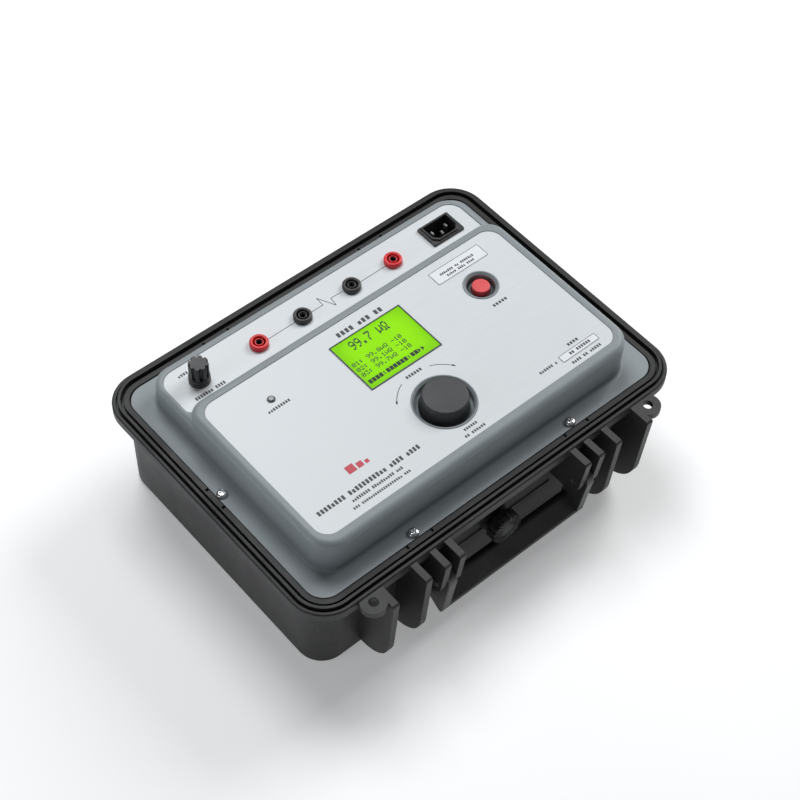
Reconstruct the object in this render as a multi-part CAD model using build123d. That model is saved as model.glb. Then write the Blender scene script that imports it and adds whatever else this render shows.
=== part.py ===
from build123d import *
import math
import os

# Portable resistance tester, built into the base of a moulded carry case.
# Millimetres. +X is right, -Y is the front (handle side), +Z is up.
# Origin: middle of the case rim in plan, on the surface the case stands on.

# ---- case base
rim_half_x = 178.5
rim_half_y = 130.0
rim_radius = 29.0
rim_under_z = 88.0
rim_top_z = 96.5
ridge_top_z = 98.8
ledge_top_z = 97.0
groove_floor_z = 93.3
shelf_z = 92.5
wall = 3.0
floor_z = 4.5
low_round = 4.0
foot_groove = 1.5
opening_half_x, opening_half_y = 158.0, 109.0

# inset of each rim feature from the outer edge of the rim
rim_round, rim_chamfer = 1.2, 0.8
lip_inset = 3.0
ridge_outer_inset = 4.4
ridge_inner_inset = 6.7
ledge_inset = 9.0
panel_pocket_inset = 13.2

# body under the rim: outline at the bottom and at the rim
low_half_x, low_front_y, low_rear_y, low_radius = 165.7, -113.5, 121.5, 21.0
high_half_x, high_front_y, high_rear_y, high_radius = 168.0, -118.0, 122.0, 25.0

# ---- front ribs, padlock ears and hinge lugs
rib_thick = 5.5
outer_rib_x = 93.0
handle_rib_x = (75.3, 61.5)
ear_plate_x = 124.1
ear_x, ear_y, ear_radius, ear_hole_r = 134.2, -136.2, 10.0, 3.75
rib_top_z, ear_under_z = 95.5, 90.5
rib_front_y, rib_back_y = -148.0, -105.0
nose_round = 2.0
# lower front curve of a rib: centre Y, centre Z, radius
tall_rib_arc = (-114.5, 38.5, 30.0)
short_rib_arc = (-131.0, 66.0, 13.8)
moulding_line_z, moulding_line_half = 44.0, 58.0
notch_x, notch_side_y, notch_depth = (65.2, 88.0), 9.6, 2.5
hinge_lug_x = (84.0, 108.0)
hinge_pin_y, hinge_pin_z, hinge_pin_r = 133.0, 77.0, 2.5
hinge_lug_r, hinge_lug_thick = 6.0, 6.0

# ---- carry handle
pivot_y, pivot_z, pivot_r = -138.0, 65.0, 2.5
arm_x, arm_thick, hub_r = 68.4, 7.3, 9.4
grip_front = (-138.9, 23.7, 3.1)
grip_rear = (-128.4, 31.6, 4.4)
running_gap = 0.06

# ---- pressure relief (purge) valve
purge_z, purge_face_y, purge_knob_r = 50.6, -132.0, 13.5
purge_head, purge_shaft_r, purge_neck_r = 9.0, 4.0, 9.0
purge_pad_r, purge_pad_rise = 12.5, 1.2
purge_body_r, purge_hole_r, purge_flange = 7.9, 8.0, 1.6
purge_seal_h = 2.3
purge_flutes, purge_flute_r = 16, 1.3

# ---- panel moulding
flange_half_x, flange_half_y, flange_radius = 164.7, 115.9, 16.0
gasket_top_z, flange_top_z = 93.5, 96.5
block_half_x, block_front_y, block_rear_y, block_radius = 149.5, -102.5, 104.9, 19.8
main_rear_y, main_rear_radius, strip_rear_radius = 58.4, 15.0, 17.0
main_top_z, strip_top_z = 129.0, 118.0
main_round, strip_round, foot_round = 5.0, 4.0, 2.5
label_sink, label_thick, label_gap = 1.1, 0.6, 0.15

# each label: x half width, front, rear, front corner radius, rear corner radius
main_label_plan = (141.7, -92.6, 50.6, 12.0, 12.0)
strip_label_plan = (144.5, 58.9, 98.5, 4.0, 13.0)
# each plate: x from, x to, y from, y to
rating_plate_box = (70.4, 121.2, 29.8, 43.7)
serial_plate_box = (91.9, 129.1, -84.5, -77.5)

# ---- controls on the main block
knob_x, knob_y = 0.0, -55.5
knob_ring_r, knob_well_r, knob_floor_z = 24.5, 22.0, 121.0
knob_top_z, knob_r_low, knob_r_top = 137.0, 19.0, 17.3
power_x, power_y = 95.5, 10.4
power_ring_r, power_well_r, power_floor_z = 14.0, 11.3, 119.0
button_r, button_top_z = 7.0, 128.2
lamp_x, lamp_y, lamp_r = -95.3, 25.2, 2.5
encoder_hole_r, switch_hole_r, lamp_hole_r = 4.7, 8.1, 3.1
lcd_x, lcd_y, lcd_w, lcd_h = 0.0, 10.2, 66.0, 48.0

# ---- connectors on the rear strip
strip_y = 77.9
jack_x = {"jack_red_left": -65.5, "jack_black_left": -24.0,
          "jack_black_right": 24.0, "jack_red_right": 65.5}
jack_collar_r, jack_barrel_r, jack_bore_r = 7.4, 5.9, 2.0
jack_top_z, jack_tail_z, jack_bore_floor_z = 121.6, 92.0, 96.0
contact_wall, contact_low_z = 0.7, 88.0
jack_shroud_r, jack_core_r, jack_gap_floor_z = 4.7, 3.5, 100.0
inlet_x, inlet_y, inlet_w, inlet_h = 116.3, 79.4, 31.0, 22.0
inlet_body = (13.8, 9.4)
inlet_hole = (14.0, 9.6)
inlet_low_z, inlet_floor_z, pin_top_z = 98.0, 102.0, 117.5
fuse_x, fuse_y = -119.7, 79.1
fuse_top_z, fuse_ring_r, fuse_cap_r = 137.4, 8.3, 7.6
fuse_body_r, fuse_bore_r, fuse_hole_r = 6.4, 5.2, 6.6
fuse_stem_r, fuse_cap_gap = 4.0, 4.0
fuse_flutes, fuse_flute_r, fuse_flute_ring = 8, 1.5, 7.3

# ---- fasteners
screw_points = [(sx * 76.7, y) for sx in (-1, 1) for y in (-111.5, 112.0)]
screw_points += [(-160.5, 0.0), (160.5, 0.0)]
screw_shank_r, insert_bore_r, insert_r = 1.6, 1.65, 2.8
screw_head_r, screw_head_h, screw_hole_r = 4.2, 2.7, 2.1
insert_h = 9.0
boss_r, boss_low_z, boss_web = 5.0, 62.0, 3.0

os.makedirs("parts", exist_ok=True)


# ---- helpers
def slab(half_x, y0, y1, radius, z0, z1, rear_radius=None):
    """Upright block with rounded corners, centred on X; the rear pair may have its own radius."""
    plan = Rectangle(2 * half_x, y1 - y0)
    front = plan.vertices().group_by(Axis.Y)[0]
    plan = fillet(front, radius)
    rear = plan.vertices().group_by(Axis.Y)[-1]
    plan = fillet(rear, radius if rear_radius is None else rear_radius)
    return Pos(0, (y0 + y1) / 2, z0) * extrude(plan, z1 - z0)


def block(x0, x1, y0, y1, z0, z1):
    return Pos((x0 + x1) / 2, (y0 + y1) / 2, (z0 + z1) / 2) * Box(x1 - x0, y1 - y0, z1 - z0)


def disc(x, y, r, z0, z1):
    return Pos(x, y, (z0 + z1) / 2) * Cylinder(r, z1 - z0)


def tube(x, y, r_out, r_in, z0, z1):
    return disc(x, y, r_out, z0, z1) - disc(x, y, r_in, z0 - 1, z1 + 1)


def rod_x(y, z, r, x0, x1):
    return Pos((x0 + x1) / 2, y, z) * Rot(0, 90, 0) * Cylinder(r, x1 - x0)


def rod_y(x, z, r, y0, y1):
    return Pos(x, (y0 + y1) / 2, z) * Rot(90, 0, 0) * Cylinder(r, y1 - y0)


def turned(points, x, y):
    """Solid of revolution about a vertical axis from (radius, height) points."""
    outline = Plane.XZ * make_face(Polyline(*points, close=True))
    return Pos(x, y, 0) * revolve(outline, Axis.Z)


def side_plate(sketch, x0, x1):
    """Extrude a (Y, Z) sketch along X."""
    return Pos(x0, 0, 0) * extrude(Plane.YZ * sketch, x1 - x0)


def hex_bar(x, y, across, z0, z1):
    return Pos(x, y, z0) * extrude(RegularPolygon(across / math.sqrt(3), 6), z1 - z0)


def group(solids):
    """One node made of several separate solids."""
    return Compound(children=[s for item in solids for s in item.solids()])


def edges_at(part, z):
    """Edges that lie flat at height z."""
    flat = []
    for edge in part.edges():
        box = edge.bounding_box()
        if abs(box.min.Z - z) < 1e-4 and abs(box.max.Z - z) < 1e-4:
            flat.append(edge)
    return flat


def save(name, part):
    export_step(part, f"parts/{name}.step")


# ---- case base
def rim_slab(inset, z0, z1):
    radius = rim_radius - inset
    return slab(rim_half_x - inset, -rim_half_y + inset, rim_half_y - inset, radius, z0, z1)


def drafted_body(inset, z0, z1):
    """The tapering body, moved inwards by inset, from z0 to z1."""
    def section(z):
        t = z / rim_under_z
        half_x = low_half_x + (high_half_x - low_half_x) * t - inset
        y0 = low_front_y + (high_front_y - low_front_y) * t + inset
        y1 = low_rear_y + (high_rear_y - low_rear_y) * t - inset
        radius = low_radius + (high_radius - low_radius) * t - inset
        return Pos(0, (y0 + y1) / 2, z) * RectangleRounded(2 * half_x, y1 - y0, radius)
    return loft([section(z0), section(z1)], ruled=True)


def front_rib(x, arc, front_y):
    """Drafted rib on the front wall: straight nose, then a curve back to the wall."""
    cy, cz, r = arc
    span = math.hypot(front_y - cy, rib_top_z - cz)
    aim = math.atan2(rib_top_z - cz, front_y - cy)
    touch = aim + math.acos(r / span)
    nose = (cy + r * math.cos(touch), cz + r * math.sin(touch))
    outline = Polyline((rib_back_y, rib_top_z), (front_y, rib_top_z), nose, (cy, cz - r),
                       (rib_back_y, cz - r), close=True)
    sketch = make_face(outline) + Pos(cy, cz) * Circle(r)
    sketch -= Pos(rib_back_y + 25, 50) * Rectangle(50, 120)
    rib = side_plate(sketch, x - rib_thick / 2, x + rib_thick / 2)
    corner = [e for e in rib.edges().filter_by(Axis.X)
              if e.center().Z > rib_top_z - 0.1 and e.center().Y < front_y + 1]
    return fillet(corner, nose_round)


def hinge_lug(x, thick):
    cy, cz, r = hinge_pin_y, hinge_pin_z, hinge_lug_r
    sketch = Pos(cy, cz) * Circle(r)
    sketch += Pos((cy + 110) / 2, (cz + r + 40) / 2) * Rectangle(cy - 110, cz + r - 40)
    sketch += make_face(Polyline((cy + r, cz), (cy - 4, 40), (112, 40), (112, cz), close=True))
    return side_plate(sketch, x - thick / 2, x + thick / 2)


def wall_front(z):
    """Y of the drafted front wall at height z."""
    return low_front_y + (high_front_y - low_front_y) * z / rim_under_z


def case_base():
    body = drafted_body(0, 0, rim_under_z)
    body = fillet(edges_at(body, 0), low_round)
    flange = rim_slab(0, rim_under_z, rim_top_z)
    flange = fillet(edges_at(flange, rim_top_z), rim_round)
    flange = chamfer(edges_at(flange, rim_under_z), rim_chamfer)
    ridge = rim_slab(ridge_outer_inset, rim_under_z, ridge_top_z)
    case = body + flange + ridge
    for side in (-1, 1):
        case += front_rib(side * outer_rib_x, tall_rib_arc, rib_front_y)
        ear_arc = (tall_rib_arc[0] - 1, tall_rib_arc[1], tall_rib_arc[2])
        case += front_rib(side * ear_plate_x, ear_arc, rib_front_y - 1)
        for x in handle_rib_x:
            case += front_rib(side * x, short_rib_arc, rib_front_y)
        case += disc(side * ear_x, ear_y, ear_radius, ear_under_z, rib_top_z)
        neck_x = side * (ear_x - 3)
        case += block(neck_x - 8, neck_x + 8, ear_y, ear_y + 12, ear_under_z, rib_top_z)
        for x in hinge_lug_x:
            case += hinge_lug(side * x, hinge_lug_thick)
    # horizontal moulding line on the front wall behind the handle
    line_y = wall_front(moulding_line_z)
    case += block(-moulding_line_half, moulding_line_half, line_y - 0.8, line_y + 2,
                  moulding_line_z - 0.6, moulding_line_z + 0.6)
    # rim channels either side of the sealing ridge
    over = ridge_top_z + 3
    case -= rim_slab(lip_inset, groove_floor_z, over - 1) - rim_slab(ridge_outer_inset, 80, over)
    case -= rim_slab(ridge_inner_inset, groove_floor_z, over - 1) - rim_slab(ledge_inset, 80, over)
    case -= rim_slab(ledge_inset, ledge_top_z, over)
    case -= rim_slab(panel_pocket_inset, shelf_z, over)
    # inside
    case -= drafted_body(wall, floor_z, 84.0)
    case -= slab(opening_half_x, -opening_half_y, opening_half_y, 12.0, 80.0, 100.0)
    # flat pads either side of the front wall for the purge valve
    pad_y = wall_front(purge_z)
    case += rod_y(0, purge_z, purge_pad_r, pad_y - purge_pad_rise, pad_y + wall + 0.8)
    for x, y in screw_points:
        case += disc(x, y, boss_r, boss_low_z, shelf_z)
        if y > 0:
            case += block(x - boss_web / 2, x + boss_web / 2, y, y + 8.0, boss_low_z, shelf_z - 2)
        case -= disc(x, y, insert_r, shelf_z - insert_h, shelf_z + 1)
        case -= disc(x, y, screw_shank_r + 0.4, shelf_z - 16.0, shelf_z + 1)
    # small relief notches in the ledge beside each screw
    notch_low, notch_high = ledge_top_z - notch_depth, ledge_top_z + 3
    for sx in (-1, 1):
        for sy in (-1, 1):
            across = sorted((sy * 116.0, sy * 119.4))
            for x in notch_x:
                case -= block(sx * x - 1, sx * x + 1, *across, notch_low, notch_high)
        across = sorted((sx * 164.5, sx * 167.8))
        for y in (-notch_side_y, notch_side_y):
            case -= block(*across, y - 1, y + 1, notch_low, notch_high)
    # holes: padlock ears, handle pins, hinge pins, purge valve
    for side in (-1, 1):
        case -= disc(side * ear_x, ear_y, ear_hole_r, 70, 110)
        case -= rod_x(pivot_y, pivot_z, pivot_r, *sorted((side * 55, side * 80)))
        case -= rod_x(hinge_pin_y, hinge_pin_z, hinge_pin_r, *sorted((side * 75, side * 115)))
    case -= rod_y(0, purge_z, purge_hole_r, -125, -100)
    # underside: a shallow groove around a flat middle
    case -= slab(146.0, -94.0, 100.0, 14.0, -1, foot_groove) - slab(141.0, -89.0, 95.0, 9.0, -2, 5)
    return case


# ---- carry handle
def grip_outline():
    """Tapered round-edged bar section: two circles joined by their outer tangents."""
    y0, z0, r0 = grip_front
    y1, z1, r1 = grip_rear
    span = math.hypot(y1 - y0, z1 - z0)
    lean = math.atan2(z1 - z0, y1 - y0)
    turn = math.acos((r0 - r1) / span)
    corners = []
    for y, z, r, sign in ((y0, z0, r0, 1), (y1, z1, r1, 1), (y1, z1, r1, -1), (y0, z0, r0, -1)):
        a = lean + sign * turn
        corners.append((y + r * math.cos(a), z + r * math.sin(a)))
    web = make_face(Polyline(*corners, close=True))
    return web + Pos(y0, z0) * Circle(r0) + Pos(y1, z1) * Circle(r1)


def carry_handle():
    arm = Pos(pivot_y, pivot_z) * Circle(hub_r)
    arm += make_face(Polyline((pivot_y - hub_r, pivot_z), (-142.2, 23.5), (-141.0, 20.6), (-138.5, 20.6),
                              (-124.5, 30.5), (-124.0, 36.0), (pivot_y + hub_r, pivot_z), close=True))
    handle = side_plate(grip_outline(), -arm_x, arm_x)
    for side in (-1, 1):
        plate = side_plate(arm, side * arm_x - arm_thick / 2, side * arm_x + arm_thick / 2)
        handle += chamfer(plate.edges().group_by(Axis.X)[0 if side < 0 else -1], 0.8)
    handle -= rod_x(pivot_y, pivot_z, pivot_r + running_gap, -80, 80)
    return handle


def handle_pins():
    inner = handle_rib_x[1] - rib_thick / 2
    outer = handle_rib_x[0] + rib_thick / 2
    pins = []
    for side in (-1, 1):
        shaft = rod_x(pivot_y, pivot_z, pivot_r, *sorted((side * inner, side * outer)))
        head = rod_x(pivot_y, pivot_z, pivot_r + 0.8, *sorted((side * outer, side * (outer + 0.8))))
        pins.append(shaft + head)
    return group(pins)


# ---- purge valve
def purge_parts():
    wall_y = wall_front(purge_z)
    pad_y = wall_y - purge_pad_rise
    seat_y = pad_y - purge_flange
    knob = rod_y(0, purge_z, purge_knob_r, purge_face_y, purge_face_y + purge_head)
    face_rim = knob.edges().sort_by(Axis.Y)[0:1]
    knob = fillet(face_rim, 1.2)
    for k in range(purge_flutes):
        a = 2 * math.pi * k / purge_flutes
        x, z = (purge_knob_r + 0.6) * math.cos(a), (purge_knob_r + 0.6) * math.sin(a)
        knob -= rod_y(x, purge_z + z, purge_flute_r, purge_face_y - 1, purge_face_y + 10)
    knob += rod_y(0, purge_z, purge_neck_r, purge_face_y + 8.0, seat_y - purge_seal_h)
    knob += rod_y(0, purge_z, purge_shaft_r, purge_face_y + 8.0, wall_y + 8.0)
    body = rod_y(0, purge_z, 11.5, seat_y, pad_y)
    body += rod_y(0, purge_z, purge_body_r, seat_y, wall_y + 12.0)
    body -= rod_y(0, purge_z, purge_shaft_r + running_gap, seat_y - 1, wall_y + 14.0)
    seal = rod_y(0, purge_z, 8.4, seat_y - purge_seal_h, seat_y)
    seal -= rod_y(0, purge_z, purge_shaft_r + running_gap, seat_y - 3, seat_y + 1)
    nut = extrude(RegularPolygon(12.0, 6), 4.0)
    nut = Pos(0, wall_y + wall + 0.8, purge_z) * Rot(-90, 0, 0) * nut
    nut -= rod_y(0, purge_z, purge_body_r, wall_y - 5, wall_y + 14)
    return knob, body, seal, nut


# ---- panel moulding, gasket and labels
def label_plan(plan, grow, z0, z1):
    """A label outline made larger by grow, between two heights."""
    half_x, y0, y1, front_r, rear_r = plan
    return slab(half_x + grow, y0 - grow, y1 + grow, front_r + grow, z0, z1, rear_r + grow)


def block_slab(inset, rear_y, rear_radius, z0, z1):
    """Outline of the raised panel block, moved inwards by inset."""
    return slab(block_half_x - inset, block_front_y + inset, rear_y - inset, block_radius - inset,
                z0, z1, rear_radius - inset)


def display_window(z0, z1):
    """Opening for the display bezel."""
    half_w = lcd_w / 2 + 0.9
    half_h = lcd_h / 2 + 0.9
    return block(lcd_x - half_w, lcd_x + half_w, lcd_y - half_h, lcd_y + half_h, z0, z1)


def inlet_block(half, z0, z1):
    """Upright block around the middle of the mains inlet, from its half sizes."""
    return block(inlet_x - half[0], inlet_x + half[0], inlet_y - half[1], inlet_y + half[1], z0, z1)


def panel_frame():
    flange = slab(flange_half_x, -flange_half_y, flange_half_y, flange_radius,
                  gasket_top_z, flange_top_z)
    low = block_slab(0, block_rear_y, strip_rear_radius, gasket_top_z, strip_top_z)
    low = fillet(edges_at(low, strip_top_z), strip_round)
    frame = flange + low
    foot = [e for e in edges_at(frame, flange_top_z) if abs(e.center().X) < block_half_x + 1
            and block_front_y - 1 < e.center().Y < block_rear_y + 1]
    frame = fillet(foot, foot_round)
    high = block_slab(0, main_rear_y, main_rear_radius, 104.0, main_top_z)
    high = fillet(edges_at(high, main_top_z), main_round)
    frame += high
    # hollow underside
    frame -= block_slab(wall, block_rear_y, strip_rear_radius, 90, strip_top_z - wall)
    frame -= block_slab(wall, main_rear_y, main_rear_radius, 110, main_top_z - wall)
    # wells for the select knob and the power button
    for x, y, ring_r, well_r, floor in ((knob_x, knob_y, knob_ring_r, knob_well_r, knob_floor_z),
                                        (power_x, power_y, power_ring_r, power_well_r, power_floor_z)):
        frame += disc(x, y, well_r + wall, floor - wall, main_top_z - 1)
        mouth = main_top_z - (ring_r - 0.9 - well_r)
        frame -= disc(x, y, well_r, floor, main_top_z + 1)
        frame -= turned([(0, mouth), (well_r, mouth), (ring_r - 0.9, main_top_z), (0, main_top_z)], x, y)
    # openings
    frame -= disc(knob_x, knob_y, encoder_hole_r, 100, 130)
    frame -= disc(power_x, power_y, switch_hole_r, 100, 130)
    frame -= disc(lamp_x, lamp_y, lamp_hole_r, 100, 140)
    frame -= display_window(100, 140)
    for x in jack_x.values():
        frame -= disc(x, strip_y, jack_barrel_r + 0.1, 100, 130)
    frame -= disc(fuse_x, fuse_y, fuse_hole_r, 100, 130)
    frame -= inlet_block(inlet_hole, 100, 130)
    for x, y in screw_points:
        frame -= disc(x, y, screw_hole_r, 90, 100)
    # pockets that the two labels lie in, and a raised collar for each well
    pocket = label_plan(main_label_plan, label_gap, main_top_z - label_sink, main_top_z + 1)
    for x, y, r in ((knob_x, knob_y, knob_ring_r), (power_x, power_y, power_ring_r)):
        pocket -= disc(x, y, r, main_top_z - 2, main_top_z + 2)
    frame -= pocket
    frame -= label_plan(strip_label_plan, label_gap, strip_top_z - label_sink, strip_top_z + 1)
    return frame


def main_label():
    z0 = main_top_z - label_sink
    label = label_plan(main_label_plan, 0, z0, z0 + label_thick)
    label -= disc(knob_x, knob_y, knob_ring_r + 0.1, 100, 140)
    label -= disc(power_x, power_y, power_ring_r + 0.1, 100, 140)
    label -= disc(lamp_x, lamp_y, lamp_hole_r, 100, 140)
    label -= display_window(100, 140)
    return label


def strip_label():
    z0 = strip_top_z - label_sink
    label = label_plan(strip_label_plan, 0, z0, z0 + label_thick)
    for x in jack_x.values():
        label -= disc(x, strip_y, jack_barrel_r + 0.1, 100, 130)
    label -= disc(fuse_x, fuse_y, fuse_hole_r, 100, 130)
    label -= inlet_block(inlet_hole, 100, 130)
    return label


def plate(x0, x1, y0, y1):
    z0 = main_top_z - label_sink + label_thick
    outline = RectangleRounded(x1 - x0, y1 - y0, 0.8)
    return Pos((x0 + x1) / 2, (y0 + y1) / 2, z0) * extrude(outline, 0.2)


def panel_gasket():
    sheet = slab(flange_half_x, -flange_half_y, flange_half_y, flange_radius,
                 shelf_z, gasket_top_z)
    gasket = sheet - slab(opening_half_x, -opening_half_y, opening_half_y, 12.0, 80, 100)
    for x, y in screw_points:
        gasket += disc(x, y, boss_r, shelf_z, gasket_top_z) & sheet
        gasket -= disc(x, y, screw_hole_r, 80, 100)
    return gasket


# ---- fasteners of the panel
def panel_screw(x, y):
    """Pan head with a cross recess."""
    r, z, top = screw_head_r, flange_top_z, flange_top_z + screw_head_h
    dome = turned([(0, z), (r, z), (r, z + 0.9), (r * 0.93, z + 1.6), (r * 0.72, z + 2.25),
                   (r * 0.4, z + 2.6), (0, top)], x, y)
    screw = dome + disc(x, y, screw_shank_r, flange_top_z - 14, flange_top_z + 0.5)
    slot_long, slot_wide, slot_deep = 4.6, 0.95, 1.3
    for turn in (30, 120):
        screw -= Pos(x, y, top) * Rot(0, 0, turn) * Box(slot_long, slot_wide, 2 * slot_deep)
    return screw


def insert(x, y):
    return tube(x, y, insert_r, insert_bore_r, shelf_z - insert_h, shelf_z)


# ---- display
def display_parts():
    def plaque(w, h, z0, z1):
        return block(lcd_x - w / 2, lcd_x + w / 2, lcd_y - h / 2, lcd_y + h / 2, z0, z1)
    under = main_top_z - wall
    bezel = plaque(lcd_w + 1.7, lcd_h + 1.7, under, main_top_z + 0.1) - plaque(lcd_w, lcd_h, 100, 140)
    glass = plaque(lcd_w - 0.1, lcd_h - 0.1, under, main_top_z - 0.35)
    glass += plaque(lcd_w + 8, lcd_h + 8, under - 2.6, under)
    backlight = plaque(lcd_w + 6, lcd_h + 6, under - 6.6, under - 2.6)
    board = plaque(lcd_w + 22, lcd_h + 20, under - 8.2, under - 6.6)
    posts = []
    for sx in (-1, 1):
        for sy in (-1, 1):
            x = lcd_x + sx * (lcd_w / 2 + 7.5)
            y = lcd_y + sy * (lcd_h / 2 + 7.0)
            board -= disc(x, y, 1.6, 100, 130)
            post = disc(x, y, 2.6, under - 6.6, under)
            posts.append(post + disc(x, y, 1.5, under - 9.6, under - 6))
    return bezel, glass, backlight, board, group(posts)


# ---- select knob and encoder
def select_knob():
    z0 = knob_floor_z + 1.0
    knob = turned([(0, z0), (knob_r_low, z0), (knob_r_low, z0 + 2.0), (knob_r_low - 0.6, z0 + 3.4),
                   (knob_r_top + 0.3, knob_top_z - 2.2), (0, knob_top_z - 2.2)], knob_x, knob_y)
    cap = disc(knob_x, knob_y, knob_r_top, knob_top_z - 3.0, knob_top_z)
    cap = fillet(edges_at(cap, knob_top_z), 1.4)
    knob += cap
    knob -= disc(knob_x, knob_y, 10.0, z0 - 1, z0 + 5.5)
    knob -= disc(knob_x, knob_y, 3.0, z0, knob_top_z - 3.0)
    return knob


def encoder_parts():
    under = knob_floor_z - wall
    shaft = disc(knob_x, knob_y, 3.0, 114.0, knob_top_z - 3.0)
    plunger = disc(knob_x, knob_y, 2.0, 109.0, 114.0)
    body = block(knob_x - 7, knob_x + 7, knob_y - 7, knob_y + 7, 107.0, under)
    body += disc(knob_x, knob_y, 4.6, under, knob_floor_z + 4.0)
    body -= disc(knob_x, knob_y, 3.0 + running_gap, 112.6, knob_floor_z + 6)
    body -= disc(knob_x, knob_y, 2.0 + running_gap, 108.0, 113.0)
    nut = hex_bar(knob_x, knob_y, 13.0, knob_floor_z, knob_floor_z + 2.4)
    nut -= disc(knob_x, knob_y, 4.62, 110, 130)
    return shaft, plunger, body, nut


# ---- power button
def power_parts():
    collar = tube(power_x, power_y, 9.6, button_r + 0.35, power_floor_z, power_floor_z + 4.6)
    collar = fillet(edges_at(collar, power_floor_z + 4.6), 0.5)
    collar += tube(power_x, power_y, 8.0, button_r + 0.35, power_floor_z - wall, power_floor_z)
    cap = disc(power_x, power_y, button_r, power_floor_z - 0.5, button_top_z)
    cap = fillet(edges_at(cap, button_top_z), 0.8)
    stem = disc(power_x, power_y, 2.4, 107.5, power_floor_z)
    half = 9.5
    body = block(power_x - half, power_x + half, power_y - half, power_y + half,
                 101.0, power_floor_z - wall)
    body -= disc(power_x, power_y, 6.0, 109.5, power_floor_z)
    body -= disc(power_x, power_y, 2.4 + running_gap, 103.5, power_floor_z)
    z0, z1, turns = 109.7, power_floor_z - 0.7, 4
    coil = Helix(pitch=(z1 - z0 - 1.2) / turns, height=z1 - z0 - 1.2, radius=4.0)
    wire = Plane(origin=coil @ 0, z_dir=coil % 0) * Circle(0.45)
    spring = Pos(power_x, power_y, z0 + 0.6) * sweep(wire, path=coil)
    return collar, cap + stem, body, spring


# ---- lamp
def lamp_parts():
    z0 = main_top_z - wall - 3.0
    lamp = disc(lamp_x, lamp_y, lamp_r, z0, main_top_z - 0.6)
    dome_cut = disc(lamp_x, lamp_y, lamp_r + 1.5, main_top_z - 0.7, main_top_z + 0.9)
    lamp += Pos(lamp_x, lamp_y, main_top_z - 0.6) * Sphere(lamp_r) & dome_cut
    lamp += disc(lamp_x, lamp_y, lamp_r + 0.4, z0, z0 + 1)
    holder = tube(lamp_x, lamp_y, 5.0, lamp_r + 0.45, z0, main_top_z - wall)
    holder += tube(lamp_x, lamp_y, lamp_r + 0.55, lamp_r + 0.05, z0 + 2, main_top_z + 0.1)
    return lamp, holder


# ---- test sockets
def safety_jack(x):
    seat = strip_top_z - label_sink + label_thick
    top = jack_top_z
    core_r = jack_bore_r + contact_wall
    outline = [(core_r, jack_tail_z), (jack_barrel_r, jack_tail_z), (jack_barrel_r, seat),
               (jack_collar_r, seat), (jack_collar_r, top - 1.0),
               (jack_collar_r - 0.4, top - 0.3), (jack_collar_r - 1.1, top),
               (jack_shroud_r + 0.5, top), (jack_shroud_r, top - 0.6),
               (jack_shroud_r, jack_gap_floor_z), (jack_core_r, jack_gap_floor_z),
               (jack_core_r, top - 0.9), (jack_core_r - 0.3, top - 0.6), (core_r, top - 0.6)]
    return turned(outline, x, strip_y)


def jack_contact(x):
    r = jack_bore_r + contact_wall
    sleeve = tube(x, strip_y, r, jack_bore_r, jack_bore_floor_z, jack_top_z - 1.6)
    return sleeve + disc(x, strip_y, r, contact_low_z, jack_bore_floor_z)


def jack_nut(x):
    under = strip_top_z - wall
    return hex_bar(x, strip_y, 16.0, under - 4.0, under) - disc(x, strip_y, jack_barrel_r + 0.02, 90, 130)


# ---- mains inlet
def inlet_cavity(grow, z0, z1):
    """Three-pin inlet opening with its two front corners cut off."""
    w, h, cut = 12.1 + grow, 8.2 + grow, 4.2
    outline = Polyline((-w, h), (-w, -h + cut), (-w + cut, -h), (w - cut, -h), (w, -h + cut), (w, h),
                       close=True)
    return Pos(inlet_x, inlet_y, z0) * extrude(make_face(outline), z1 - z0)


def mains_inlet():
    seat = strip_top_z - label_sink + label_thick
    bezel = Pos(inlet_x, inlet_y, seat) * extrude(RectangleRounded(inlet_w, inlet_h, 1.2), 2.0)
    bezel = fillet(edges_at(bezel, seat + 2.0), 0.6)
    inlet = bezel + inlet_cavity(1.2, seat, seat + 3.4)
    inlet += inlet_block(inlet_body, inlet_low_z, seat)
    inlet -= inlet_cavity(0, inlet_floor_z, 130)
    for dx, dy in pin_places():
        inlet -= block(inlet_x + dx - 1, inlet_x + dx + 1, inlet_y + dy - 2, inlet_y + dy + 2, 90, 110)
    return inlet


def pin_places():
    return ((-7.0, 2.0), (0.0, -2.0), (7.0, 2.0))


def inlet_pins():
    pins = []
    for dx, dy in pin_places():
        x, y = inlet_x + dx, inlet_y + dy
        pin = block(x - 1, x + 1, y - 2, y + 2, 90.0, pin_top_z)
        pins.append(chamfer(edges_at(pin, pin_top_z), 0.6))
    return group(pins)


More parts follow.
